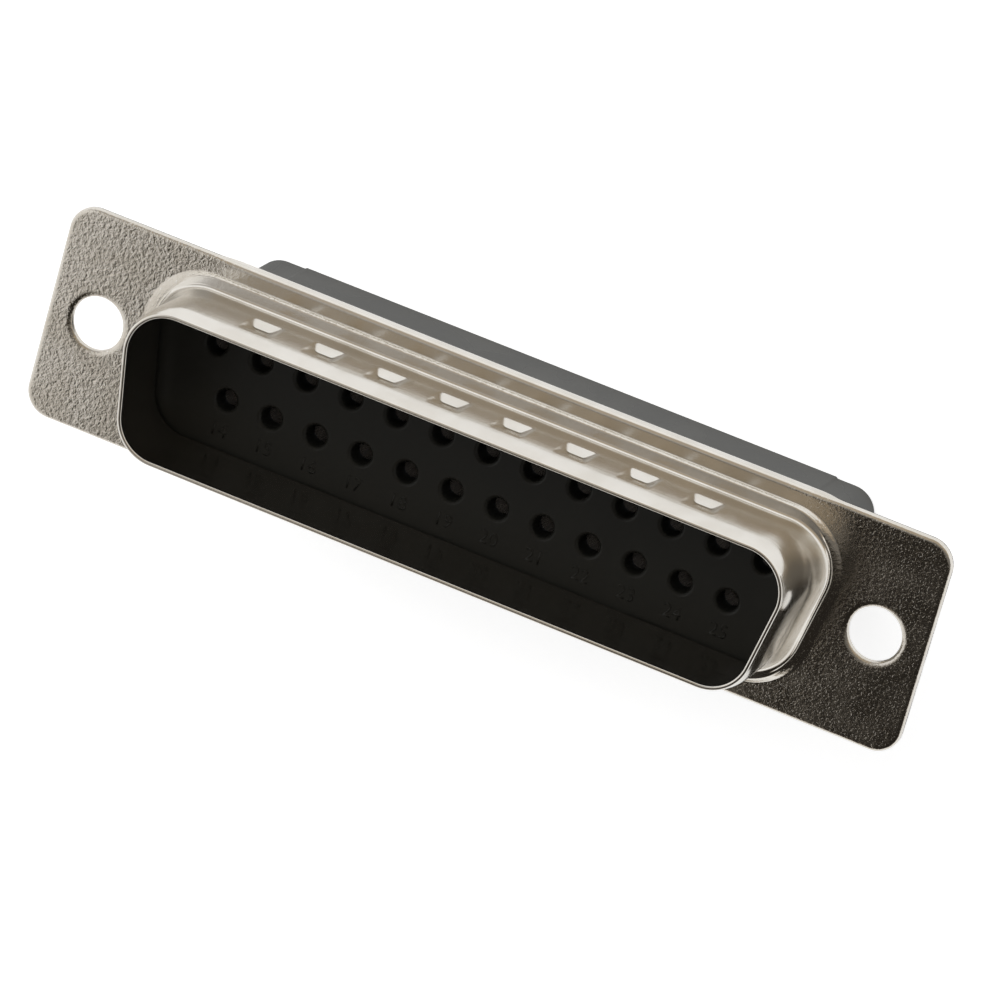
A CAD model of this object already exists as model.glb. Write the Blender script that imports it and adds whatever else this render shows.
"""Looks of a 25 way D-sub plug housing: plated shell, black insert and rear block, bronze clips.

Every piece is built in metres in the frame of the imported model: +X along the flange,
+Y towards the wide side, +Z out of the mating side, origin between the mounting holes.
"""

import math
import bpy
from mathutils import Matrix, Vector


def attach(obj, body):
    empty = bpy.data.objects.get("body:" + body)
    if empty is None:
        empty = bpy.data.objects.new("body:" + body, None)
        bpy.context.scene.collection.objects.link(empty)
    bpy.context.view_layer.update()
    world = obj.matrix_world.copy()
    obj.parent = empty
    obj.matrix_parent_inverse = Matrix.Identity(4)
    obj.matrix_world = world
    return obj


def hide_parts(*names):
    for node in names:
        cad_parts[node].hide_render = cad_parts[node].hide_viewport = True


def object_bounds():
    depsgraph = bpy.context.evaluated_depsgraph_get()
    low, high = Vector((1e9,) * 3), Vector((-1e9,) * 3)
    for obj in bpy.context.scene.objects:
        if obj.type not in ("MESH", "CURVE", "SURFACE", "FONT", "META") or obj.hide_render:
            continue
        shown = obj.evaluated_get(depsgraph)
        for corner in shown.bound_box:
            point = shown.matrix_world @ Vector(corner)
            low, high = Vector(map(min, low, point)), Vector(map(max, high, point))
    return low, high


bl_info = {
    "name": "D-sub plug housing",
    "version": (1, 0, 0),
    "blender": (4, 5, 0),
    "location": "3D View > Sidebar > Connector",
    "description": "Builds the shell, insulators, clips and stage of a D-sub plug housing",
    "category": "Add Mesh",
}

import bmesh
import bpy
from bpy.props import FloatProperty, FloatVectorProperty, IntProperty, PointerProperty
from mathutils import Matrix, Vector

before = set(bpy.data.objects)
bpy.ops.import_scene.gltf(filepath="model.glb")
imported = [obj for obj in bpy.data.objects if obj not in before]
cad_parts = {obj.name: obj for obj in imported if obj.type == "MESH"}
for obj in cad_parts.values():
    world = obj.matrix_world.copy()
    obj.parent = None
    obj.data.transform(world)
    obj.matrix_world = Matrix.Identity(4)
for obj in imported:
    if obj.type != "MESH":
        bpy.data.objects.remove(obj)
CAD_BOX = [list(corner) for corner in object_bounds()]

MM = 0.001
ROOT = "root"
LONG_ROW = 13
SHORT_ROW = 12
CONTACTS = LONG_ROW + SHORT_ROW
LEAN = math.radians(10)
SENSOR_MM = 36


def length(name, description, mm, low=0.0, high=0.1):
    """A length property that is written in millimetres and kept in metres."""
    return FloatProperty(name=name, description=description, default=mm * MM, min=low, max=high,
                         subtype="DISTANCE", unit="LENGTH", precision=5)


def colour(name, description, rgb):
    return FloatVectorProperty(name=name, description=description, default=rgb, size=3,
                               min=0.0, max=1.0, subtype="COLOR")


class DSUB_PG_shell(bpy.types.PropertyGroup):
    """Sizes of the plated shell."""
    flange_w: length("Flange length", "Length of the flange", 53.04)
    flange_h: length("Flange height", "Height of the flange", 12.55)
    flange_r: length("Flange corner", "Corner radius of the flange", 1.5)
    sheet: length("Sheet", "Thickness of the sheet in the flange", 0.4)
    roll_w: length("Edge roll width", "Width of the rolled front edge", 0.25)
    roll_h: length("Edge roll height", "Height of the rolled front edge", 0.18)
    burr_round: length("Back edge", "Rounding of the punched back edge", 0.04)
    hole_x: length("Hole place", "Distance of a mounting hole from the middle", 23.52)
    hole_r: length("Hole radius", "Radius of a mounting hole", 1.525)
    hole_dish_w: length("Hole dish width", "Width of the drawn-in rim of a hole", 0.34)
    hole_dish_h: length("Hole dish height", "Depth of the drawn-in rim of a hole", 0.15)
    fold_x: length("Fold end", "Distance of the wide side's fold ends from its middle", 18.2)
    fold_shift: length("Fold shift", "Distance of that fold's middle from the hole pattern's", 0.9)
    fold_low_x: length("Low fold end", "Distance of the narrow side's fold ends from the middle", 15.5)
    fold_fade: length("Fold run-out", "Length over which a fold runs out into the ear", 1.5)
    fold_bow: length("Fold bow", "How far the wide side's fold is drawn in at its middle", 0.06)
    fold_corner: length("Fold corner", "Outer radius where a fold leaves the front face", 0.3)
    fold_r: length("Fold radius", "Outer radius where a fold turns back", 0.6)
    fold_depth: length("Fold depth", "Distance from the front face to the back of a fold", 1.15)
    fold_reach: length("Fold reach", "Distance of a folded lip from the middle plane", 4.4)
    ring_h: length("Ring height", "Height of the raised ring", 0.25)
    ring_foot_w: length("Ring foot width", "Width of the ring where it leaves the flange", 42.1)
    ring_foot_h: length("Ring foot height", "Height of the ring where it leaves the flange", 10.64)
    ring_top_w: length("Ring top width", "Width of the ring on its flat top", 40.7)
    ring_top_h: length("Ring top height", "Height of the ring on its flat top", 10.2)
    ring_rise: length("Ring rise", "Rise of the ring's top toward the skirt", 0.05)
    ring_r: length("Ring corner", "Corner radius of the ring's foot", 3.6)
    skirt_w: length("Skirt width", "Inside width of the skirt", 38.96)
    skirt_h: length("Skirt height", "Inside height of the skirt", 8.36)
    skirt_r: length("Skirt corner", "Inside corner radius of the skirt", 2.4)
    skirt_z: length("Skirt depth", "Height of the skirt over the flange", 5.9)
    wall: length("Wall", "Thickness of the drawn wall", 0.3)
    lip_run: length("Lip run", "Height over which the lip curves inward", 1.4)
    lip_in: length("Lip inset", "How far the lip is drawn inward", 0.12)
    lip_wall: length("Lip wall", "Thickness of the wall at the lip", 0.25)
    lip_round: length("Lip rounding", "Rounding of the lip's edges", 0.1)
    root_r: length("Root radius", "Radius outside the skirt's root", 0.22)
    flare_r: length("Flare radius", "Radius inside the skirt's root", 0.3)
    end_flare: length("End flare", "How far the skirt's ends spread out at their root", 0.42)
    end_drop: length("End drop", "How much lower the ring is at its ends", 0.15)
    end_flare_h: length("End flare height", "Height up to which the ends spread", 1.9)
    dimple_pitch: length("Dimple spacing", "Spacing of the dimples", 3.78)
    dimple_z: length("Dimple place", "Height of the dimples' valley over the flange", 2.8)
    dimple_w: length("Dimple width", "Width of a dimple along the skirt", 1.95)
    dimple_h: length("Dimple height", "Height of a dimple up the skirt", 1.95)
    dimple_lip_run: length("Dimple lip run", "Length of a dimple's facet toward the lip", 1.3)
    dimple_ridge: length("Dimple ridge", "Length of the ridge in a dimple", 0.9)
    dimple_depth: length("Dimple depth", "Depth of a dimple", 0.25)
    dimples: IntProperty(name="Dimples", description="Number of dimples", default=8, min=1, max=8)


class DSUB_PG_insert(bpy.types.PropertyGroup):
    """Sizes of the front insert and its numbers."""
    rim_w: length("Rim width", "Width of the rim under the ring", 40.2)
    rim_h: length("Rim height", "Height of the rim under the ring", 10.0)
    rim_r: length("Rim corner", "Corner radius of the rim", 3.1)
    core_w: length("Core width", "Width of the core", 36.4)
    core_h: length("Core height", "Height of the core", 5.8)
    core_r: length("Core corner", "Corner radius of the core", 0.9)
    core_depth: length("Core depth", "Depth of the core behind the flange", 3.8)
    face: length("Face", "How far the face lies under the flange's front", 0.15)
    hole_r: length("Pin hole", "Radius of a pin hole", 0.6)
    mouth_r: length("Countersink", "Radius of a pin hole's countersink", 0.75)
    mouth_depth: length("Countersink depth", "Depth of a pin hole's countersink", 0.15)
    pocket_r: length("Pocket", "Radius of the pocket that holds a clip", 1.2)
    pocket_len: length("Pocket length", "Length of that pocket", 2.7)
    edge: length("Edge rounding", "Rounding of the moulded edges", 0.08)
    number_h: length("Number height", "Height of the contact numbers", 0.8)
    number_relief: length("Number relief", "How far the numbers stand out", 0.008)
    number_y: length("Number place", "Distance of the numbers from the middle plane", 3.2)


class DSUB_PG_housing(bpy.types.PropertyGroup):
    """Sizes of the rear housing."""
    ledge_w: length("Ledge width", "Width of the clamped ledge", 41.2)
    ledge_h: length("Ledge height", "Height of the clamped ledge", 11.0)
    ledge_r: length("Ledge corner", "Corner radius of the ledge", 1.0)
    ledge_t: length("Ledge thickness", "Thickness of the ledge", 0.35)
    block_w: length("Block width", "Width of the block", 37.94)
    block_h: length("Block height", "Height of the block", 7.0)
    block_r: length("Block corner", "Corner radius of the block", 1.5)
    depth: length("Depth", "Distance from the flange's front to the rear face", 11.1)
    land_x: length("Land end", "Distance of each end of the land from the middle", 16.4)
    land_h: length("Land height", "Height of the land on the broad faces", 0.08)
    edge: length("Edge rounding", "Rounding of the moulded edges", 0.15)
    seat_gap: length("Seat gap", "Gap round the insert's core", 0.05)
    bore_r: length("Bore", "Radius of a contact bore", 0.9)
    mouth_r: length("Bore mouth", "Radius of a bore's chamfered mouth", 1.1)
    lead_in: length("Lead-in", "Depth of that chamfer", 0.25)


class DSUB_PG_finish(bpy.types.PropertyGroup):
    """Colours and scales of the surfaces."""
    metal: colour("Metal", "Colour of the tin plate", (0.68, 0.655, 0.61))
    metal_dull: colour("Dull metal", "Colour of the tin plate where it is duller", (0.57, 0.535, 0.475))
    crease: colour("Crease", "Colour of the plate in the dimples' valley", (0.2, 0.175, 0.13))
    bronze: colour("Bronze", "Colour of the clips", (0.1, 0.075, 0.05))
    insert: colour("Insert", "Colour of the insert", (0.0085, 0.0085, 0.007))
    housing: colour("Housing", "Colour of the rear housing", (0.052, 0.052, 0.047))
    peel_size: length("Peel size", "Size of the cells of the orange peel", 0.22)
    peel_depth: length("Peel depth", "Depth of the orange peel", 0.016)
    wave_size: length("Wave size", "Size of the slow waves in the sheet", 5.0)
    wave_depth: length("Wave depth", "Depth of those waves", 0.013)
    droop: FloatProperty(name="Droop", description="Bend of the ears, per metre", default=3.0)
    grain_size: length("Grain size", "Size of the mould grain", 0.09)


class DSUB_PG_stage(bpy.types.PropertyGroup):
    """View and light."""
    distance: length("Distance", "Camera's distance from the point it looks at", 430.17, 0.1, 2.0)
    aim_x: length("Aim X", "Point that the camera looks at, along the flange", 1.456, -0.1)
    aim_y: length("Aim Y", "Point that the camera looks at, across the flange", -0.801, -0.1)
    azimuth: FloatProperty(name="Azimuth", description="Camera's direction round the part",
                           default=math.radians(52.416), subtype="ANGLE", unit="ROTATION")
    elevation: FloatProperty(name="Elevation", description="Camera's height over the flange",
                             default=math.radians(64.165), subtype="ANGLE", unit="ROTATION")
    roll: FloatProperty(name="Roll", description="Camera's roll",
                        default=math.radians(-123.48), subtype="ANGLE", unit="ROTATION")
    lens: FloatProperty(name="Lens", description="Focal length in mm", default=286.217,
                        min=50, max=400, subtype="DISTANCE_CAMERA")


def settings(name):
    return getattr(bpy.context.scene, "dsub_" + name)


# ---------------------------------------------------------------- outlines and rings


def outline(w, h, r, lean=LEAN):
    """Corner centres and corner angles of a D, or of a rounded rectangle when lean is 0."""
    drop = (h - 2 * r) * math.tan(lean)
    top = Vector((w / 2 - r, h / 2 - r))
    low = Vector((w / 2 - r - drop, r - h / 2))
    centres = [low, top, Vector((-top.x, top.y)), Vector((-low.x, low.y))]
    turn = math.pi / 2
    angles = [(-turn, -lean), (-lean, turn), (turn, math.pi + lean), (math.pi + lean, 3 * turn)]
    return centres, angles, r


def stations(corner_steps, side_fractions):
    """Places round any outline: corner arcs, and the given fractions along the four sides."""
    places = []
    for corner in range(4):
        places += [("corner", corner, n / corner_steps) for n in range(corner_steps + 1)]
        places += [("side", corner, f) for f in side_fractions[corner]]
    return places


def at(place, shape):
    """Point of an outline at a station."""
    kind, index, share = place
    centres, angles, r = shape

    def on_corner(k, f):
        a0, a1 = angles[k % 4]
        a = a0 + (a1 - a0) * f
        return centres[k % 4] + r * Vector((math.cos(a), math.sin(a)))

    if kind == "corner":
        return on_corner(index, share)
    return on_corner(index, 1).lerp(on_corner(index + 1, 0), share)


def first_ring(bm, count, place):
    """A closed ring of edges; place(n) gives the position of its nth point."""
    tag = bm.verts.layers.int["station"]
    verts = bmesh.ops.create_circle(bm, segments=count, radius=1)["verts"]
    for n, v in enumerate(verts):
        v[tag] = n
        v.co = place(n)
    return list({e for v in verts for e in v.link_edges})


def next_ring(bm, ring, place):
    """Extrudes a ring of edges and moves the new points to place(n)."""
    tag = bm.verts.layers.int["station"]
    made = bmesh.ops.extrude_edge_only(bm, edges=ring)["geom"]
    verts = {g for g in made if isinstance(g, bmesh.types.BMVert)}
    for v in verts:
        v.co = place(v[tag])
    return [g for g in made if isinstance(g, bmesh.types.BMEdge)
            and g.verts[0] in verts and g.verts[1] in verts]


def pull_rings(bm, count, places):
    """A tube of faces through rings, one place function for each ring."""
    ring = first_ring(bm, count, places[0])
    for place in places[1:]:
        ring = next_ring(bm, ring, place)
    return ring


def new_bmesh():
    bm = bmesh.new()
    bm.verts.layers.int.new("station")
    return bm


def open_edges(bm, z, tolerance=1e-6):
    return [e for e in bm.edges if e.is_boundary
            and all(abs(v.co.z - z) < tolerance for v in e.verts)]


def fill_flat(bm, z, up):
    """Fills the flat region between all open rings at height z."""
    bmesh.ops.triangle_fill(bm, use_beauty=True, use_dissolve=False, edges=open_edges(bm, z),
                            normal=(0, 0, 1 if up else -1))


def arc(cx, cz, r, start, end, steps):
    """Points of an arc in a section, with angles in degrees."""
    points = []
    for k in range(steps + 1):
        a = math.radians(start + (end - start) * k / steps)
        points.append((cx + r * math.cos(a), cz + r * math.sin(a)))
    return points


def smooth(t):
    t = min(max(t, 0.0), 1.0)
    return t * t * (3 - 2 * t)


def contact_place(i):
    """Centre of contact i, counted from 0: first the longer row, then the shorter one."""
    pitch, half_gap = 2.76 * MM, 1.42 * MM
    if i < LONG_ROW:
        return Vector(((i - (LONG_ROW - 1) / 2) * pitch, half_gap))
    return Vector(((i - LONG_ROW - (SHORT_ROW - 1) / 2) * pitch, -half_gap))


def finish_piece(bm, name, material, replaced=()):
    """Turns a closed bmesh into a piece that rides with the body and stands for CAD nodes."""
    bmesh.ops.recalc_face_normals(bm, faces=bm.faces)
    for f in bm.faces:
        f.smooth = True
    mesh = bpy.data.meshes.new(name)
    bm.to_mesh(mesh)
    bm.free()
    piece = bpy.data.objects.new(name, mesh)
    bpy.context.scene.collection.objects.link(piece)
    mesh.materials.append(material)
    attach(piece, ROOT)
    if replaced:
        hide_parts(*replaced)
    return piece


# ---------------------------------------------------------------- shell


def dimple_depth(p, x, z):
    """Depth of the row of pressed dimples at a point of the wide wall: hipped wedges."""
    valley, hip, rim = 0.07 * MM, 0.3, 0.16
    nearest = round(x / p.dimple_pitch - 0.5) + 0.5
    if abs(nearest) > p.dimples / 2:
        return 0.0
    half_w, half_ridge = p.dimple_w / 2, p.dimple_ridge / 2
    u = abs(x - nearest * p.dimple_pitch)
    v = math.hypot(z - p.dimple_z, valley)
    up = 1 - v / (p.dimple_h / 2 if z < p.dimple_z else p.dimple_lip_run)
    along = (half_w - u) / (half_w - half_ridge)
    near = max(hip - abs(up - along), 0) / hip
    share = min(up, along) - near * near * hip / 4
    if share <= 0:
        return 0.0
    return p.dimple_depth * share * share / (share + rim) * (1 + rim)


def ring_rises(steps):
    """Share of the ring's height at each step: a small hollow at the foot, then a crown."""
    hollow = 0.28
    slopes = [(1 - (k + 0.5) / steps) * min(1.0, (k + 0.5) / steps / hollow) for k in range(steps)]
    return [sum(slopes[:k]) / sum(slopes) for k in range(steps + 1)]


def skirt_section(p):
    """Levels of the drawn form as (outline, z, dimpled, share of the end drop)."""
    foot = (p.ring_foot_w, p.ring_foot_h, p.ring_r)
    top = (p.ring_top_w, p.ring_top_h, p.ring_r - 0.3 * MM)

    def ring(share, grow=0.0):
        w, h, r = [f + (t - f) * share for f, t in zip(foot, top)]
        return outline(w + 2 * grow, h + 2 * grow, r + grow)

    def wall(d, z):
        flare = p.end_flare * max(0.0, 1 - (z - p.ring_h) / (p.end_flare_h - p.ring_h)) ** 2
        return outline(p.skirt_w + 2 * (d + min(flare, p.end_flare)), p.skirt_h + 2 * d, p.skirt_r + d)

    steps = 14
    rises = ring_rises(steps)
    under_z = p.ring_h - p.sheet
    support = 0.05 * MM
    levels = [(ring(0, 2 * support), 0.0, False, 0), (ring(0, support), 0.0, False, 0)]
    levels += [(ring(k / steps), p.ring_h * rises[k], False, rises[k]) for k in range(steps + 1)]
    root_z = p.ring_h + p.ring_rise
    levels.append((wall(p.wall + p.root_r + support, root_z), root_z - support / 10, False, 1))
    levels += [(wall(d, z), z, True, 1 - (z - root_z) / p.root_r)
               for d, z in arc(p.wall + p.root_r, root_z + p.root_r, p.root_r, 270, 180, 8)]
    first, last, step = 1.7, 3.9, 0.08
    count = round((last - first) / step)
    heights = [0.6 + 0.1 * k for k in range(11)] + [first + step * k for k in range(count + 1)]
    heights = [z * MM for z in heights + [4.1, 4.3]]
    levels += [(wall(p.wall, z), z, True, 0) for z in heights]
    lip_z, lip_steps = p.skirt_z - p.lip_run, 12
    rise = p.lip_run - p.lip_round
    outer = p.lip_wall - p.lip_in
    shares = [k / lip_steps for k in range(lip_steps + 1)]
    levels += [(wall(p.wall + (outer - p.wall) * s * s, lip_z), lip_z + rise * s, True, 0)
               for s in shares[:-1]]
    r = p.lip_round
    levels += [(wall(d, z), z, False, 0) for d, z in arc(outer - r, p.skirt_z - r, r, 0, 90, 6)]
    levels += [(wall(d, z), z, False, 0) for d, z in arc(r - p.lip_in, p.skirt_z - r, r, 90, 180, 6)]
    levels += [(wall(-p.lip_in * s * s, lip_z), lip_z + rise * s, True, 0) for s in reversed(shares[:-1])]
    levels += [(wall(0, z), z, True, 0) for z in reversed(heights)]
    levels += [(wall(d, max(z, p.ring_h)), z, False, 0)
               for d, z in arc(p.flare_r, under_z + p.flare_r, p.flare_r, 180, 270, 8)]
    levels += [(ring(k / steps), p.ring_h * rises[k] - p.sheet, False, 0) for k in range(steps, -1, -1)]
    levels.append((ring(0, support), -p.sheet, False, 0))
    return levels


def add_drawn_form(bm, p):
    """The raised ring and the skirt as one tube round the D, with close stations at the dimples."""
    half = (p.skirt_w - 2 * p.skirt_r) / 2
    reach, spread = 1.15 * MM, 24
    drop_from, drop_over = 18.5 * MM, 1.9 * MM
    marks = [p.dimple_pitch * (k - (p.dimples - 1) / 2) for k in range(p.dimples)]
    xs = {round(m + reach * (2 * k / spread - 1), 7) for m in marks for k in range(spread + 1)}
    xs.update(side * v * MM for side in (-1, 1) for v in (14.8, 15.5, 16.5))
    wide = [(half - v) / (2 * half) for v in sorted(xs, reverse=True)]
    narrow = [k / 24 for k in range(1, 24)]
    ends = [k / 6 for k in range(1, 6)]
    places = stations(18, [ends, wide, ends, narrow])

    def ring_place(shape, z, dimpled, dropped):
        def place(n):
            point = at(places[n], shape)
            if dimpled and places[n][0] == "side" and places[n][1] == 1:
                point.y -= dimple_depth(p, point.x, z)
            drop = p.end_drop * dropped * smooth((abs(point.x) - drop_from) / drop_over)
            return Vector((point.x, point.y, z - drop))
        return place

    pull_rings(bm, len(places), [ring_place(*level) for level in skirt_section(p)])


def edge_profiles(p):
    """Two matched sections of the flange's edge, plain and folded, as (inset, z) pairs."""
    t, burr = p.sheet, p.burr_round
    support = tip_r = 0.05 * MM
    roll_steps, turn_steps = 8, 12
    turns = [math.pi / 2 * k / roll_steps for k in range(roll_steps + 1)]
    plain = [(p.roll_w + 2 * support, 0.0), (p.roll_w + support, 0.0)]
    plain += [(p.roll_w * (1 - math.sin(a)), p.roll_h * (math.cos(a) - 1)) for a in turns]
    plain += [(0.0, -p.roll_h - support), (0.0, burr - t - support)]
    plain += arc(burr, burr - t, burr, 180, 270, turn_steps)
    c, r = p.fold_corner, p.fold_r
    bend_z, back = r - p.fold_depth, -p.fold_depth
    tip = p.flange_h / 2 - p.fold_reach
    folded = [(c + 2 * support, 0.0), (c + support, 0.0)]
    folded += arc(c, -c, c, 90, 180, roll_steps)
    folded += [(0.0, -c - support), (0.0, bend_z + support)]
    folded += arc(r, bend_z, r, 180, 270, turn_steps)
    folded += [(tip - 2 * tip_r, back)]
    folded += arc(tip - tip_r, back + tip_r, tip_r, -90, 0, 4)
    folded += arc(tip - tip_r, back + t - tip_r, tip_r, 0, 90, 4)
    folded += [(tip - 2 * tip_r, back + t), (r + support, back + t)]
    folded += arc(r, bend_z, r - t, 270, 180, 6)
    folded += [(t, -t - support), (t, -t), (t + support, -t)]
    while len(plain) < len(folded) - 1:
        plain.append((burr, -t))
    plain.append((burr + support, -t))
    return plain, folded


def add_flange_edge(bm, p):
    """Outer edge of the flange: punched round the ears, folded back along the long sides."""
    plain, folded = edge_profiles(p)
    half_w = p.flange_w / 2 - p.flange_r
    fade, beyond, bow_fade = p.fold_fade, 0.4 * MM, 1.5 * MM
    folds = {1: (p.fold_x, p.fold_shift, p.fold_bow), 3: (p.fold_low_x, 0.0, 0.0)}

    def side_stations(reach, shift):
        end = reach + fade / 2
        offsets = [end + beyond] + [end - fade * k / 14 for k in range(15)]
        inner = end - fade
        offsets += [inner * k / 9 for k in range(9)]
        return sorted({round(side * v + shift, 7) for v in offsets for side in (-1, 1)})

    along = {}
    for index, (reach, shift, bow) in folds.items():
        xs = side_stations(reach, shift) + [half_w * 0.98, -half_w * 0.98]
        along[index] = [(half_w - v) / (2 * half_w) for v in sorted(xs, reverse=True)]
    along[3] = sorted(1 - v for v in along[3])
    ends = [k / 10 for k in range(1, 10)]
    places = stations(16, [ends, along[1], ends, along[3]])

    def level_place(k):
        def place(n):
            kind, index, share = places[n]
            inset, z = plain[k]
            bend, x = 0.0, 0.0
            if kind == "side" and index in folds:
                x = half_w * (1 - 2 * share) * (1 if index == 1 else -1)
                reach, shift, bow = folds[index]
                away = abs(x - shift)
                s = smooth((reach + fade / 2 - away) / fade)
                inset += (folded[k][0] - inset) * s
                z += (folded[k][1] - z) * s
                bend = bow * smooth(1 - away / reach) * s
            shape = outline(p.flange_w - 2 * inset, p.flange_h - 2 * inset,
                            max(p.flange_r - inset, 0.2 * MM), 0)
            point = at(places[n], shape)
            if kind == "side" and index in folds:
                point.x = x
                point.y -= math.copysign(bend, point.y) * smooth(1 - inset / bow_fade)
            return Vector((point.x, point.y, z))
        return place

    pull_rings(bm, len(places), [level_place(k) for k in range(len(plain))])


def add_mounting_hole(bm, p, x):
    """A punched hole with its rounded front edge."""
    r, b = p.hole_r, p.burr_round
    wide, deep, steps = p.hole_dish_w, p.hole_dish_h, 10
    turns = [math.pi / 2 * k / steps for k in range(steps + 1)]
    section = [(r + wide + 0.1 * MM, 0.0), (r + wide + 0.04 * MM, 0.0)]
    section += [(r + wide * (1 - math.sin(a)), deep * (math.cos(a) - 1)) for a in turns]
    section += [(r, -p.sheet + 2 * b)]
    section += [(r + b - d, z - p.sheet + b) for d, z in arc(0, 0, b, 0, -90, 3)]
    section += [(r + 2 * b, -p.sheet)]
    count = 64

    def level_place(radius, z):
        return lambda n: Vector((x + radius * math.cos(2 * math.pi * n / count),
                                 radius * math.sin(2 * math.pi * n / count), z))

    pull_rings(bm, count, [level_place(*point) for point in section])


class DSUB_OT_front_shell(bpy.types.Operator):
    """Builds the drawn and plated shell: flange, folds, raised ring, skirt and dimples"""
    bl_idname = "mesh.dsub_front_shell"
    bl_label = "Front shell"

    def execute(self, context):
        p = settings("shell")
        bm = new_bmesh()
        add_drawn_form(bm, p)
        add_flange_edge(bm, p)
        for side in (-1, 1):
            add_mounting_hole(bm, p, side * p.hole_x)
        bmesh.ops.remove_doubles(bm, verts=bm.verts, dist=1e-7)
        fill_flat(bm, 0.0, True)
        fill_flat(bm, -p.sheet, False)
        finish_piece(bm, "front_shell_looks", plated_steel(), ["front_shell"])
        return {"FINISHED"}


# ---------------------------------------------------------------- plastics


def add_bore(bm, centre, section, count=32):
    """A round hole about a contact's place, through (radius, z) pairs."""
    turns = [2 * math.pi * n / count for n in range(count)]

    def level_place(radius, z):
        return lambda n: Vector((centre.x + radius * math.cos(turns[n]),
                                 centre.y + radius * math.sin(turns[n]), z))

    pull_rings(bm, count, [level_place(*pair) for pair in section])


def add_tube(bm, levels, corner_steps=12, side_steps=8):
    """A tube through (outline, z) pairs."""
    sides = [k / side_steps for k in range(1, side_steps)]
    places = stations(corner_steps, [sides] * 4)

    def level_place(shape, z):
        def place(n):
            return Vector((*at(places[n], shape), z))
        return place

    pull_rings(bm, len(places), [level_place(*level) for level in levels])


class DSUB_OT_front_insert(bpy.types.Operator):
    """Builds the black insert with its countersunk pin holes"""
    bl_idname = "mesh.dsub_front_insert"
    bl_label = "Front insert"

    def execute(self, context):
        p = settings("insert")
        back = -settings("shell").sheet
        end = back - p.core_depth
        s, e = 0.04 * MM, p.edge
        bm = new_bmesh()

        def rim(inset):
            return outline(p.rim_w - 2 * inset, p.rim_h - 2 * inset, p.rim_r - inset)

        def core(inset):
            return outline(p.core_w - 2 * inset, p.core_h - 2 * inset, p.core_r - inset)

        levels = [(rim(e + 2 * s), -p.face), (rim(e + s), -p.face)]
        levels += [(rim(d), z) for d, z in arc(e, -p.face - e, e, 90, 180, 4)]
        levels += [(rim(0), back + s), (rim(0), back), (rim(s), back)]
        add_tube(bm, levels)
        levels = [(core(-2 * s), back), (core(-s), back), (core(0), back - s), (core(0), end + e)]
        levels += [(core(d), z) for d, z in arc(e, end + e, e, 180, 270, 4)]
        levels += [(core(e + s), end), (core(e + 2 * s), end)]
        add_tube(bm, levels)
        step = end + p.pocket_len
        r, mouth, pocket = p.hole_r, p.mouth_r, p.pocket_r
        low = -p.face - p.mouth_depth
        section = [(mouth + 2 * s, -p.face), (mouth + s, -p.face), (mouth, -p.face - s / 3)]
        section += [(r + s, low + s), (r, low - s), (r, step + s), (r, step), (r + s, step)]
        section += [(pocket - s, step), (pocket, step), (pocket, step - s), (pocket, end + s)]
        section += [(pocket + s / 2, end), (pocket + 2 * s, end)]
        for i in range(CONTACTS):
            add_bore(bm, contact_place(i), section)
        fill_flat(bm, -p.face, True)
        fill_flat(bm, back, False)
        fill_flat(bm, end, False)
        finish_piece(bm, "front_insert_looks", insert_plastic(), ["front_insert"])
        return {"FINISHED"}


class DSUB_OT_rear_housing(bpy.types.Operator):
    """Builds the rear housing: clamped ledge, block with its lands, contact bores"""
    bl_idname = "mesh.dsub_rear_housing"
    bl_label = "Rear housing"

    def execute(self, context):
        p, insert = settings("housing"), settings("insert")
        top = -settings("shell").sheet
        under, seat, end = top - p.ledge_t, top - insert.core_depth, -p.depth
        s, e = 0.05 * MM, p.edge
        bm = new_bmesh()

        def ledge(inset):
            return outline(p.ledge_w - 2 * inset, p.ledge_h - 2 * inset, p.ledge_r - inset, 0)

        def block(inset):
            return outline(p.block_w - 2 * inset, p.block_h - 2 * inset, p.block_r - inset)

        def pit(inset):
            g = p.seat_gap - inset
            return outline(insert.core_w + 2 * g, insert.core_h + 2 * g, insert.core_r + g)

        add_tube(bm, [(ledge(2 * s), top), (ledge(s), top), (ledge(0), top - s),
                      (ledge(0), under + s), (ledge(s), under), (ledge(2 * s), under)])
        add_block(bm, p, block, under, end)
        add_tube(bm, [(pit(-2 * s), top), (pit(-s), top), (pit(0), top - s), (pit(0), seat + s),
                      (pit(0), seat), (pit(s), seat)])
        r, mouth = p.bore_r, p.mouth_r
        section = [(r + 2 * s, seat), (r, seat), (r, seat - s), (r, end + p.lead_in + s),
                   (r + s / 2, end + p.lead_in - s / 2), (mouth - s / 2, end + s / 2),
                   (mouth + s / 2, end), (mouth + 2 * s, end)]
        for i in range(CONTACTS):
            add_bore(bm, contact_place(i), section)
        fill_flat(bm, top, True)
        fill_flat(bm, under, False)
        fill_flat(bm, seat, True)
        fill_flat(bm, end, False)
        finish_piece(bm, "rear_housing_looks", housing_plastic(), ["rear_housing"])
        return {"FINISHED"}


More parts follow.
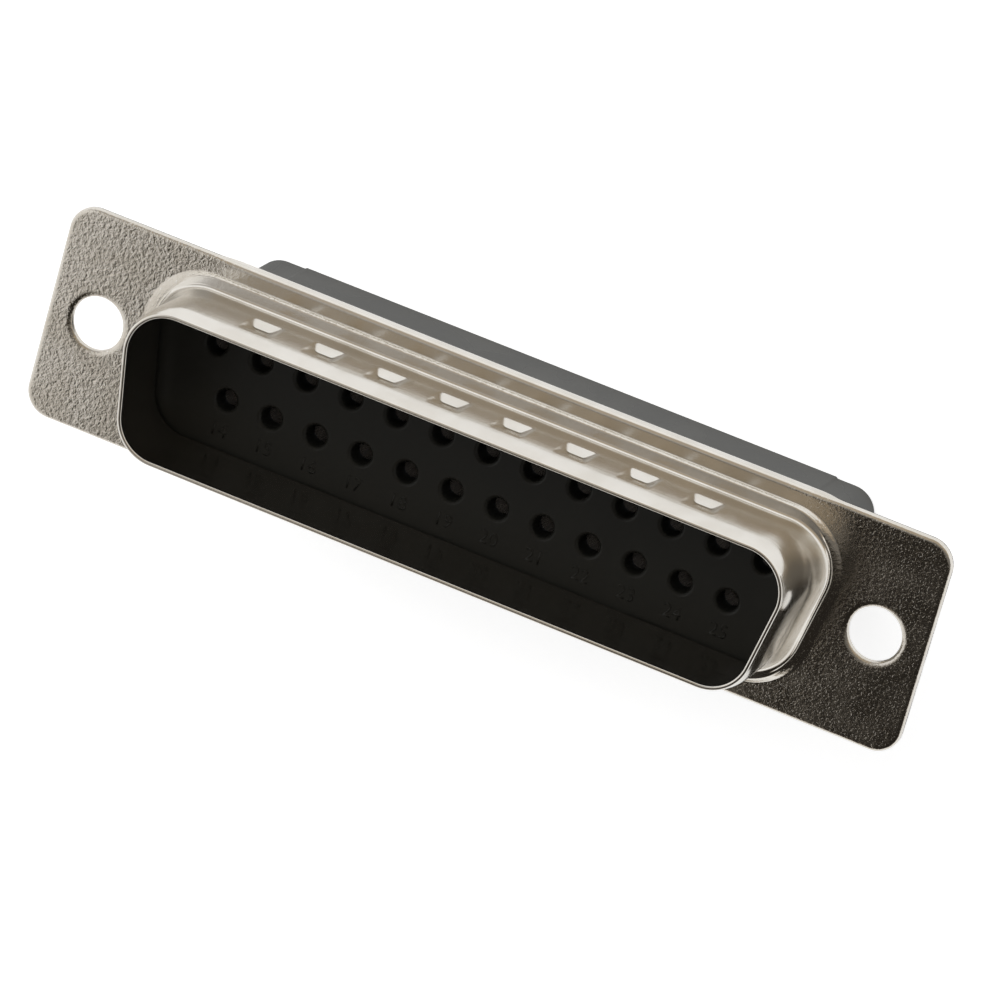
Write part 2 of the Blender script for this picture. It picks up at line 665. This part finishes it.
def add_block(bm, p, block, under, end):
    """The housing's D block, whose broad faces carry a low land between soft steps."""
    s, e, step = 0.05 * MM, p.edge, 0.14 * MM
    levels = [(block(-2 * s), under), (block(-s), under), (block(0), under - s), (block(0), end + e)]
    levels += [(block(d), z) for d, z in arc(e, end + e, e, 180, 270, 6)]
    levels += [(block(e + s), end), (block(e + 2 * s), end)]
    half_top = p.block_w / 2 - p.block_r
    half_low = half_top - (p.block_h - 2 * p.block_r) * math.tan(LEAN)
    marks = [p.land_x + step * k for k in (-1.5, -1, -0.75, -0.5, -0.25, 0)]
    marks += [p.land_x * k / 8 for k in range(8)]

    def fractions(half):
        return sorted({round((half - side * v) / (2 * half), 6) for v in marks for side in (-1, 1)})

    ends = [k / 6 for k in range(1, 6)]
    places = stations(12, [ends, fractions(half_top), ends, fractions(half_low)])

    def level_place(shape, z):
        def place(n):
            kind, index, share = places[n]
            point = at(places[n], shape)
            if kind == "side" and index in (1, 3):
                rise = p.land_h * smooth((p.land_x - abs(point.x)) / step)
                point.y += math.copysign(rise, point.y)
            return Vector((point.x, point.y, z))
        return place

    pull_rings(bm, len(places), [level_place(*level) for level in levels])


class DSUB_OT_contact_numbers(bpy.types.Operator):
    """Builds the raised contact numbers on the insert's face"""
    bl_idname = "mesh.dsub_contact_numbers"
    bl_label = "Contact numbers"

    def execute(self, context):
        p = settings("insert")
        bm = bmesh.new()
        for i in range(CONTACTS):
            place = contact_place(i)
            add_number(bm, str(i + 1), place.x, math.copysign(p.number_y, place.y), p)
        bmesh.ops.remove_doubles(bm, verts=bm.verts, dist=1e-7)
        finish_piece(bm, "contact_numbers", insert_plastic())
        return {"FINISHED"}


def add_number(bm, label, x, y, p):
    """Adds one number, whose foot is sunk a little into the insert's face."""
    half, cap, sunk = 0.5, 0.7, 0.01 * MM
    curve = bpy.data.curves.new(label, "FONT")
    curve.body = label
    curve.align_x, curve.align_y = "CENTER", "CENTER"
    curve.extrude = half
    curve.resolution_u = 4
    text = bpy.data.objects.new(label, curve)
    bpy.context.scene.collection.objects.link(text)
    mesh = text.evaluated_get(bpy.context.evaluated_depsgraph_get()).to_mesh()
    before = set(bm.verts)
    bm.from_mesh(mesh)
    bpy.data.objects.remove(text)
    bpy.data.curves.remove(curve)
    size = p.number_h / cap
    foot, height = -p.face - sunk, p.number_relief + sunk
    for v in set(bm.verts) - before:
        v.co = Vector((x + v.co.x * size, y + v.co.y * size, foot + (v.co.z + half) * height))


class DSUB_OT_clips(bpy.types.Operator):
    """Gives the retention clips their bronze"""
    bl_idname = "material.dsub_clips"
    bl_label = "Retention clips"

    def execute(self, context):
        metal = clip_bronze()
        for name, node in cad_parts.items():
            if name.startswith("retention_clip"):
                node.data.materials.clear()
                node.data.materials.append(metal)
        return {"FINISHED"}


# ---------------------------------------------------------------- materials


class Graph:
    """Short calls for building a node tree."""

    def __init__(self, tree):
        self.tree = tree

    def node(self, kind, values=None, **options):
        made = self.tree.nodes.new(kind)
        for name, value in options.items():
            setattr(made, name, value)
        for name, value in (values or {}).items():
            self.put(value, made.inputs[name])
        return made

    def put(self, value, socket):
        if isinstance(value, bpy.types.NodeSocket):
            self.tree.links.new(value, socket)
        else:
            socket.default_value = value

    def math(self, operation, *values):
        made = self.node("ShaderNodeMath", operation=operation)
        for k, value in enumerate(values):
            self.put(value, made.inputs[k])
        return made.outputs[0]

    def ramp(self, value, low, high, start=0.0, end=1.0):
        """A smooth step from start to end while the value goes from low to high."""
        made = self.node("ShaderNodeMapRange", {"Value": value, "From Min": low, "From Max": high,
                                                "To Min": start, "To Max": end},
                         interpolation_type="SMOOTHSTEP")
        return made.outputs["Result"]

    def noise(self, vector, size, detail=2.0, distortion=0.0):
        """Noise between 0 and 1 whose cells have the given size in metres."""
        made = self.node("ShaderNodeTexNoise", {"Vector": vector, "Scale": 1 / size,
                                                "Detail": detail, "Distortion": distortion})
        return made.outputs["Fac"]

    def stretch(self, vector, factors):
        """The vector times a factor on each axis; a small factor draws a pattern out along it."""
        made = self.node("ShaderNodeVectorMath", {0: vector, 1: factors}, operation="MULTIPLY")
        return made.outputs["Vector"]

    def place(self, tree, values):
        """The outputs of a node group that is given these values."""
        return self.node("ShaderNodeGroup", values, node_tree=tree).outputs

    def mix(self, share, first, second):
        """Mix of two colours."""
        made = self.node("ShaderNodeMix", data_type="RGBA")
        self.put(share, made.inputs["Factor"])
        for socket, value in ((6, first), (7, second)):
            self.put(value if isinstance(value, bpy.types.NodeSocket) else (*value, 1),
                     made.inputs[socket])
        return made.outputs[2]


def new_group(name, inputs, outputs):
    """A shader node group with float or vector inputs and float outputs."""
    tree = bpy.data.node_groups.new(name, "ShaderNodeTree")
    for label, kind in inputs.items():
        tree.interface.new_socket(name=label, in_out="INPUT", socket_type=kind)
    for label in outputs:
        tree.interface.new_socket(name=label, in_out="OUTPUT", socket_type="NodeSocketFloat")
    return Graph(tree), tree.nodes.new("NodeGroupInput").outputs, tree.nodes.new("NodeGroupOutput").inputs


def shared(name, build):
    """The node group of that name, built once."""
    return bpy.data.node_groups.get(name) or build(name)


def orange_peel(name):
    """Height of the wormy cells that drawing leaves in unsupported sheet, and its flecks."""
    g, given, out = new_group(name, {"Vector": "NodeSocketVector", "Size": "NodeSocketFloat"},
                              ["Height", "Flecks"])
    worm_share, cell_share, fleck_scale = 1.3, -0.45, 2.1
    scale = g.math("DIVIDE", 1.0, given["Size"])
    worms = g.node("ShaderNodeTexNoise", {"Vector": given["Vector"], "Scale": scale, "Detail": 2.5,
                                          "Roughness": 0.6, "Distortion": 0.6}).outputs["Fac"]
    cells = g.node("ShaderNodeTexVoronoi", {"Vector": given["Vector"], "Scale": scale,
                                            "Smoothness": 0.7}, feature="SMOOTH_F1").outputs["Distance"]
    g.put(g.math("ADD", g.math("MULTIPLY", worms, worm_share),
                 g.math("MULTIPLY", cells, cell_share)), out["Height"])
    fine = g.node("ShaderNodeTexNoise", {"Vector": given["Vector"], "Detail": 1.0,
                                         "Scale": g.math("MULTIPLY", scale, fleck_scale)}).outputs["Fac"]
    g.put(g.ramp(fine, 0.58, 0.72), out["Flecks"])
    return g.tree


def ear_droop(name):
    """Height of sheet whose ears bend down evenly from where the folds end."""
    g, given, out = new_group(name, {"Vector": "NodeSocketVector", "Bend": "NodeSocketFloat"},
                              ["Height", "Ears"])
    start, full = 15 * MM, 19 * MM
    x = g.node("ShaderNodeSeparateXYZ", {"Vector": given["Vector"]}).outputs["X"]
    away = g.math("ABSOLUTE", x)
    past = g.math("MAXIMUM", g.math("SUBTRACT", away, start), 0.0)
    half_bend = g.math("MULTIPLY", given["Bend"], -0.5)
    g.put(g.math("MULTIPLY", g.math("MULTIPLY", past, past), half_bend), out["Height"])
    g.put(g.ramp(away, start, full), out["Ears"])
    return g.tree


def drawing_marks(name):
    """Height of the fine lines that a die leaves up a drawn wall, and of rolling lines along it."""
    g, given, out = new_group(name, {"Vector": "NodeSocketVector"}, ["Height"])
    rolling_share = 1.2
    upright = g.noise(g.stretch(given["Vector"], (1.0, 1.0, 0.05)), 0.22 * MM, 3.0)
    along = g.noise(g.stretch(given["Vector"], (0.07, 0.3, 1.0)), 0.3 * MM, 3.0)
    g.put(g.math("MULTIPLY_ADD", along, rolling_share, upright), out["Height"])
    return g.tree


def mould_grain(name):
    """Height and shine of fine moulded plastic."""
    g, given, out = new_group(name, {"Vector": "NodeSocketVector", "Size": "NodeSocketFloat"},
                              ["Height", "Shine"])
    scale = g.math("DIVIDE", 1.0, given["Size"])
    grain = g.node("ShaderNodeTexNoise", {"Vector": given["Vector"], "Scale": scale,
                                          "Detail": 3.0}).outputs["Fac"]
    g.put(grain, out["Height"])
    g.put(g.noise(given["Vector"], 3.5 * MM, 1.0, 0.4), out["Shine"])
    return g.tree


def new_material(name):
    material = bpy.data.materials.new(name)
    material.use_nodes = True
    graph = Graph(material.node_tree)
    where = graph.node("ShaderNodeTexCoord").outputs["Object"]
    return material, graph, where, material.node_tree.nodes["Principled BSDF"].inputs


def dimple_crease(g, x, y, z):
    """Share of the dark line that the punch leaves along the valley of each dimple."""
    p = settings("shell")
    face = p.skirt_h / 2 + p.wall
    off = g.math("ABSOLUTE", g.math("SUBTRACT", z, p.dimple_z + 0.02 * MM))
    line = g.ramp(off, 0.03 * MM, 0.1 * MM, 1.0, 0.0)
    deep = g.ramp(y, face - 0.9 * p.dimple_depth, face - 0.5 * p.dimple_depth, 1.0, 0.0)
    outer = g.ramp(y, face - p.wall, face - p.wall + 0.02 * MM)
    row_end = p.dimples / 2 * p.dimple_pitch
    row = g.ramp(g.math("ABSOLUTE", x), row_end, row_end + 0.3 * MM, 1.0, 0.0)
    return g.math("MULTIPLY", g.math("MULTIPLY", line, deep), g.math("MULTIPLY", outer, row))


def plated_steel():
    """Bright tin plate: orange peel on the ears, drawing marks on the skirt, slow waves."""
    material, g, where, shader = new_material("tin_plated_steel")
    p = settings("finish")
    x, y, height = g.node("ShaderNodeSeparateXYZ", {"Vector": where}).outputs
    ears = g.place(shared("DSUB ear droop", ear_droop), {"Vector": where, "Bend": p.droop})
    peel = g.place(shared("DSUB orange peel", orange_peel), {"Vector": where, "Size": p.peel_size})
    marks = g.place(shared("DSUB drawing marks", drawing_marks), {"Vector": where})["Height"]
    waves = g.noise(where, p.wave_size, 1.0)
    patches = g.noise(where, 2.2 * MM, 3.0, 0.5)

    # The skirt is drawn smooth; the flange peels on its ears, at the ring's foot, and a little elsewhere.
    drawn = g.ramp(height, 0.17 * MM, 0.24 * MM)
    flange = g.math("SUBTRACT", 1.0, drawn)
    strip_share, fleck_height = 0.12, 0.3
    foot = g.math("MULTIPLY", g.ramp(height, 0.0, 0.03 * MM), 1.3)
    rough = g.math("MULTIPLY_ADD", ears["Ears"], 1 - strip_share, strip_share)
    rough = g.math("MULTIPLY", flange, g.math("MAXIMUM", rough, foot))
    rough = g.math("MULTIPLY", rough, g.ramp(x, -20 * MM, 22 * MM, 1.15, 0.55))
    peeled = g.math("MULTIPLY_ADD", peel["Flecks"], fleck_height, peel["Height"])

    relief = g.math("MULTIPLY", g.math("MULTIPLY", peeled, rough), p.peel_depth)
    relief = g.math("MULTIPLY_ADD", g.math("MULTIPLY", marks, drawn), 0.003 * MM, relief)
    calm = g.math("MULTIPLY_ADD", ears["Ears"], -0.4, 1.0)
    relief = g.math("MULTIPLY_ADD", g.math("MULTIPLY", waves, calm), p.wave_depth, relief)
    relief = g.math("ADD", relief, g.math("MULTIPLY", ears["Height"], flange))
    bump = g.node("ShaderNodeBump", {"Height": relief, "Distance": 1.0})
    g.put(bump.outputs["Normal"], shader["Normal"])

    dull = g.math("MULTIPLY", g.math("SUBTRACT", 1.0, peel["Flecks"]), rough)
    dull = g.math("MULTIPLY_ADD", dull, 0.55, g.math("MULTIPLY", g.ramp(patches, 0.35, 0.7), 0.45))
    plate = g.mix(dull, p.metal, p.metal_dull)
    g.put(g.mix(dimple_crease(g, x, y, height), plate, p.crease), shader["Base Color"])
    g.put(1.0, shader["Metallic"])
    g.put(g.math("MULTIPLY_ADD", drawn, 0.02, g.ramp(patches, 0.3, 0.7, 0.12, 0.18)), shader["Roughness"])
    return material


def black_plastic(name, rgb, rough, specular, grain_depth):
    """Moulded plastic with a fine grain and a slowly varying shine."""
    material, g, where, shader = new_material(name)
    grain = g.place(shared("DSUB mould grain", mould_grain),
                    {"Vector": where, "Size": settings("finish").grain_size})
    relief = g.math("MULTIPLY", grain["Height"], grain_depth)
    g.put(g.node("ShaderNodeBump", {"Height": relief, "Distance": 1.0}).outputs["Normal"], shader["Normal"])
    worn = [1.25 * v for v in rgb]
    g.put(g.mix(g.ramp(grain["Shine"], 0.35, 0.7), rgb, worn), shader["Base Color"])
    g.put(g.ramp(grain["Shine"], 0.3, 0.7, rough - 0.05, rough + 0.06), shader["Roughness"])
    g.put(specular, shader["Specular IOR Level"])
    return material


def insert_plastic():
    name, rgb = "black_insert_plastic", settings("finish").insert
    return bpy.data.materials.get(name) or black_plastic(name, rgb, 0.5, 0.28, 0.0015 * MM)


def housing_plastic():
    return black_plastic("black_housing_plastic", settings("finish").housing, 0.27, 0.9, 0.003 * MM)


def clip_bronze():
    """Spring bronze with faint rolling lines."""
    material, g, where, shader = new_material("spring_bronze")
    p = settings("finish")
    rolled = g.noise(g.stretch(where, (1.0, 1.0, 0.1)), 0.12 * MM, 3.0)
    dark = [0.72 * v for v in p.bronze]
    g.put(g.mix(g.ramp(rolled, 0.35, 0.7), p.bronze, dark), shader["Base Color"])
    g.put(1.0, shader["Metallic"])
    g.put(g.ramp(rolled, 0.3, 0.7, 0.22, 0.38), shader["Roughness"])
    relief = g.math("MULTIPLY", rolled, 0.002 * MM)
    g.put(g.node("ShaderNodeBump", {"Height": relief, "Distance": 1.0}).outputs["Normal"], shader["Normal"])
    return material


# ---------------------------------------------------------------- stage


class DSUB_OT_stage(bpy.types.Operator):
    """Builds the floor, the world, the lamps and the camera"""
    bl_idname = "scene.dsub_stage"
    bl_label = "Stage"

    def execute(self, context):
        p = settings("stage")
        scene = context.scene
        scene.view_settings.view_transform = "Standard"
        add_floor(CAD_BOX[0][2])
        add_world(scene)
        add_lamp(scene)
        add_camera(scene, p)
        return {"FINISHED"}


def add_floor(z):
    """White paper that keeps the object's shadow, and is clear when seen from below."""
    half, paper, glow, glossy_loss = 3.0, (0.8, 0.8, 0.8, 1), 0.62, -0.12
    bm = bmesh.new()
    bmesh.ops.create_grid(bm, x_segments=1, y_segments=1, size=half)
    bmesh.ops.translate(bm, verts=bm.verts, vec=(0, 0, z))
    mesh = bpy.data.meshes.new("floor")
    bm.to_mesh(mesh)
    bm.free()
    floor = bpy.data.objects.new("floor", mesh)
    bpy.context.scene.collection.objects.link(floor)
    material = bpy.data.materials.new("floor_paper")
    material.use_nodes = True
    material.node_tree.nodes.clear()
    g = Graph(material.node_tree)
    path = g.node("ShaderNodeLightPath").outputs
    seen = g.math("MAXIMUM", path["Is Camera Ray"], path["Is Glossy Ray"])
    seen = g.math("MAXIMUM", seen, path["Is Transmission Ray"])
    strength = g.math("MULTIPLY_ADD", path["Is Glossy Ray"], glossy_loss, g.math("MULTIPLY", seen, glow))
    white = g.node("ShaderNodeBsdfDiffuse", {"Color": paper})
    light = g.node("ShaderNodeEmission", {"Strength": strength})
    both = g.node("ShaderNodeAddShader", {0: white.outputs[0], 1: light.outputs[0]})
    clear = g.node("ShaderNodeBsdfTransparent")
    below = g.node("ShaderNodeNewGeometry").outputs["Backfacing"]
    surface = g.node("ShaderNodeMixShader", {0: below, 1: both.outputs[0], 2: clear.outputs[0]})
    g.node("ShaderNodeOutputMaterial", {"Surface": surface.outputs[0]})
    mesh.materials.append(material)


def studio_sky(name):
    """Brightness and warmth of the studio in a direction.

    It is white low down. Above, a dark oval lies over the narrow side and the right,
    a soft box to the left, and a lighter band toward the wide side.
    """
    g, given, out = new_group(name, {"Direction": "NodeSocketVector"}, ["Light", "Warmth"])
    oval_x, oval_y, oval_rx, oval_ry = 0.08, -0.33, 0.365, 0.6
    dark, plain = 0.02, 0.32
    box_light, band_light, low_light = 0.56, 0.2, 1.2
    low, high = 0.3, 0.6
    x, y, z = g.node("ShaderNodeSeparateXYZ", {"Vector": given["Direction"]}).outputs
    across = g.math("DIVIDE", g.math("MINIMUM", g.math("SUBTRACT", x, oval_x), 0.0), oval_rx)
    along = g.math("DIVIDE", g.math("SUBTRACT", y, oval_y), oval_ry)
    away = g.math("SQRT", g.math("ADD", g.math("MULTIPLY", across, across),
                                 g.math("MULTIPLY", along, along)))
    oval = g.ramp(away, 0.85, 1.2, dark, plain)
    box = g.math("MULTIPLY", g.ramp(x, -0.41, -0.345, 1.0, 0.0), g.ramp(y, 0.25, 0.45, 1.0, 0.0))
    above = g.math("MULTIPLY_ADD", box, box_light, oval)
    band = g.ramp(g.math("ADD", y, g.ramp(x, -0.25, -0.21, 0.12, 0.0)), -0.28, -0.02)
    above = g.math("MULTIPLY_ADD", band, band_light, above)
    upper = g.ramp(z, low, high)
    g.put(g.math("MULTIPLY_ADD", above, upper, g.ramp(z, low, high, low_light, 0.0)), out["Light"])
    cool = g.math("MULTIPLY", g.ramp(y, -0.24, -0.05, 0.0, 0.6), g.ramp(y, 0.12, 0.26, 1.0, 0.0))
    warm = g.math("MULTIPLY", g.ramp(x, -0.34, -0.285, 0.15, 1.0), g.math("SUBTRACT", 1.0, cool))
    g.put(g.math("MULTIPLY", upper, warm), out["Warmth"])
    return g.tree


def add_world(scene):
    """White to the camera, an even fill on the object, and the studio sky in what is glossy."""
    fill, white, warm_tint = 0.5, (1.0, 1.0, 1.0), (1.0, 0.85, 0.66)
    world = bpy.data.worlds.new("studio")
    scene.world = world
    world.use_nodes = True
    world.node_tree.nodes.clear()
    g = Graph(world.node_tree)
    direction = g.node("ShaderNodeTexCoord").outputs["Generated"]
    sky = g.place(shared("DSUB studio sky", studio_sky), {"Direction": direction})
    path = g.node("ShaderNodeLightPath").outputs
    glossy = g.math("MULTIPLY_ADD", g.math("SUBTRACT", sky["Light"], fill), path["Is Glossy Ray"], fill)
    strength = g.math("MAXIMUM", glossy, path["Is Camera Ray"])
    tint = g.mix(g.math("MULTIPLY", sky["Warmth"], path["Is Glossy Ray"]), white, warm_tint)
    background = g.node("ShaderNodeBackground", {"Color": tint, "Strength": strength})
    g.node("ShaderNodeOutputWorld", {"Surface": background.outputs[0]})


def add_lamp(scene):
    """A large soft lamp over the left shoulder; metal shows the studio sky instead of it."""
    where, size, watts = Vector((-0.25, 0.35, 0.38)), 0.45, 1.8
    data = bpy.data.lights.new("key", "AREA")
    data.shape = "RECTANGLE"
    data.size = data.size_y = size
    data.energy = watts
    lamp = bpy.data.objects.new("key", data)
    lamp.location = where
    lamp.rotation_euler = (-where).to_track_quat("-Z", "Y").to_euler()
    lamp.visible_glossy = False
    scene.collection.objects.link(lamp)


def add_camera(scene, p):
    aim = Vector((p.aim_x, p.aim_y, 0))
    back = Vector((math.cos(p.elevation) * math.cos(p.azimuth),
                   math.cos(p.elevation) * math.sin(p.azimuth), math.sin(p.elevation)))
    data = bpy.data.cameras.new("camera")
    data.lens = p.lens
    data.sensor_width = SENSOR_MM
    data.clip_start, data.clip_end = 0.01, 20
    camera = bpy.data.objects.new("camera", data)
    turn = back.to_track_quat("Z", "Y") @ Matrix.Rotation(p.roll, 4, "Z").to_quaternion()
    camera.matrix_world = Matrix.Translation(aim + p.distance * back) @ turn.to_matrix().to_4x4()
    scene.collection.objects.link(camera)
    scene.camera = camera


class DSUB_PT_panel(bpy.types.Panel):
    """Lists the pieces of the connector"""
    bl_idname = "DSUB_PT_panel"
    bl_label = "D-sub plug"
    bl_space_type = "VIEW_3D"
    bl_region_type = "UI"
    bl_category = "Connector"

    def draw(self, context):
        for group in GROUPS:
            box = self.layout.box()
            values = settings(group)
            for name in values.bl_rna.properties.keys():
                if name not in ("rna_type", "name"):
                    box.prop(values, name)
        for operator in OPERATORS:
            self.layout.operator(operator.bl_idname)


GROUPS = {"shell": DSUB_PG_shell, "insert": DSUB_PG_insert, "housing": DSUB_PG_housing,
          "finish": DSUB_PG_finish, "stage": DSUB_PG_stage}
OPERATORS = [DSUB_OT_front_shell, DSUB_OT_front_insert, DSUB_OT_rear_housing,
             DSUB_OT_contact_numbers, DSUB_OT_clips, DSUB_OT_stage]


def register():
    for cls in [*GROUPS.values(), *OPERATORS, DSUB_PT_panel]:
        bpy.utils.register_class(cls)
    for name, group in GROUPS.items():
        setattr(bpy.types.Scene, "dsub_" + name, PointerProperty(type=group))


def unregister():
    for name in GROUPS:
        delattr(bpy.types.Scene, "dsub_" + name)
    for cls in reversed([*GROUPS.values(), *OPERATORS, DSUB_PT_panel]):
        bpy.utils.unregister_class(cls)


def main():
    register()
    bpy.ops.mesh.dsub_front_shell()
    bpy.ops.mesh.dsub_front_insert()
    bpy.ops.mesh.dsub_rear_housing()
    bpy.ops.mesh.dsub_contact_numbers()
    bpy.ops.material.dsub_clips()
    bpy.ops.scene.dsub_stage()


if __name__ == "__main__":
    main()
